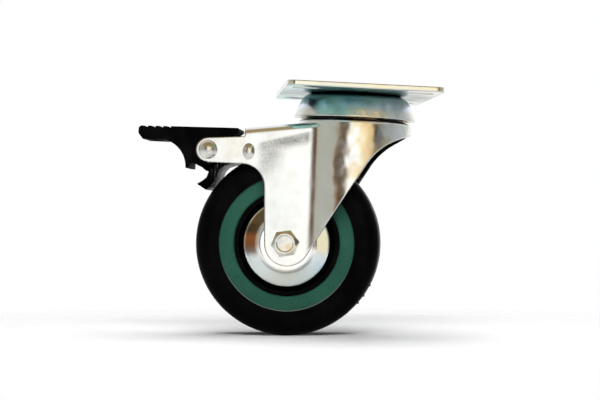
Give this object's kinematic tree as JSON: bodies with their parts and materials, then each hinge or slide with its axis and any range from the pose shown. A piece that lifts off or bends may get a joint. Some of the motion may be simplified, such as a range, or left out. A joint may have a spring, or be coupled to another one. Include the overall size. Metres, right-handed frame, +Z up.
{
  "type": "swivel castor",
  "caption": "Plate-mounted swivel castor with a zinc-plated pressed fork, a double ball race, a black rubber tyre on a green rim, and a foot brake pedal with a shoe.",
  "frame": {"origin": "centre of the mounting plate's top face, on the swivel axis", "axes": "+Z up out of the plate; X along the plate's short side, Y along its long side; at rest the fork trails towards -X, turned 7.6 degrees about the swivel axis"},
  "size_m": [0.1195, 0.092, 0.1015],
  "materials": {
    "zinc_sheet": "bright zinc-plated pressed steel with faint gold and teal passivation",
    "zinc_fastener": "bright zinc-plated steel",
    "bearing_steel": "polished hard steel",
    "tyre_rubber": "smooth black rubber with a soft sheen",
    "green_plastic": "dark green moulded plastic",
    "black_plastic": "black moulded plastic",
    "nylon": "natural nylon",
    "spring_steel": "blackened spring steel, brushed where it has rubbed"
  },
  "bodies": {
    "plate_assembly": {"mounting_plate": "zinc_sheet", "upper_race_cup": "zinc_sheet", "upper_swivel_balls": "bearing_steel", "kingpin": "zinc_fastener", "lower_race_cup": "bearing_steel", "lower_swivel_balls": "bearing_steel"},
    "swivel_fork": {"fork": "zinc_sheet", "axle_bolt": "zinc_fastener", "lock_nut": "zinc_fastener", "nut_nylon_ring": "nylon", "axle_sleeve": "zinc_fastener", "spacer_bush_near": "zinc_fastener", "spacer_bush_far": "zinc_fastener", "inner_race_near": "bearing_steel", "inner_race_far": "bearing_steel", "pedal_pivot_rivet": "zinc_fastener", "shoe_pin": "zinc_fastener"},
    "wheel": {"tyre": "tyre_rubber", "wheel_rim": "green_plastic", "wheel_hub": "black_plastic", "dust_cover_near": "zinc_sheet", "dust_cover_far": "zinc_sheet", "outer_race_near": "bearing_steel", "outer_race_far": "bearing_steel", "bearing_balls_near": "bearing_steel", "bearing_balls_far": "bearing_steel", "bearing_cage_near": "bearing_steel", "bearing_cage_far": "bearing_steel"},
    "pedal": {"brake_pedal": "black_plastic"},
    "shoe": {"brake_shoe": "spring_steel"}
  },
  "joints": [
    {"name": "swivel", "type": "hinge", "parent": "plate_assembly", "child": "swivel_fork", "pos_m": [0, 0, 0], "axis": [0, 0, 1], "continuous": true},
    {"name": "wheel_spin", "type": "hinge", "parent": "swivel_fork", "child": "wheel", "pos_m": [-0.02448, 0.00327, -0.064], "axis": [0.1323, 0.9912, 0], "continuous": true},
    {"name": "brake_pedal", "type": "hinge", "parent": "swivel_fork", "child": "pedal", "pos_m": [-0.05744, 0.00766, -0.02749], "axis": [-0.1323, -0.9912, 0], "range_deg": [0, 15]},
    {"name": "brake_shoe", "type": "hinge", "parent": "swivel_fork", "child": "shoe", "pos_m": [-0.04099, 0.00547, -0.02664], "axis": [-0.1323, -0.9912, 0], "range_deg": [0, 1.5]}
  ],
  "couplings": [
    {"joint": "brake_shoe", "follows": "brake_pedal", "ratio": 0.1}
  ]
}
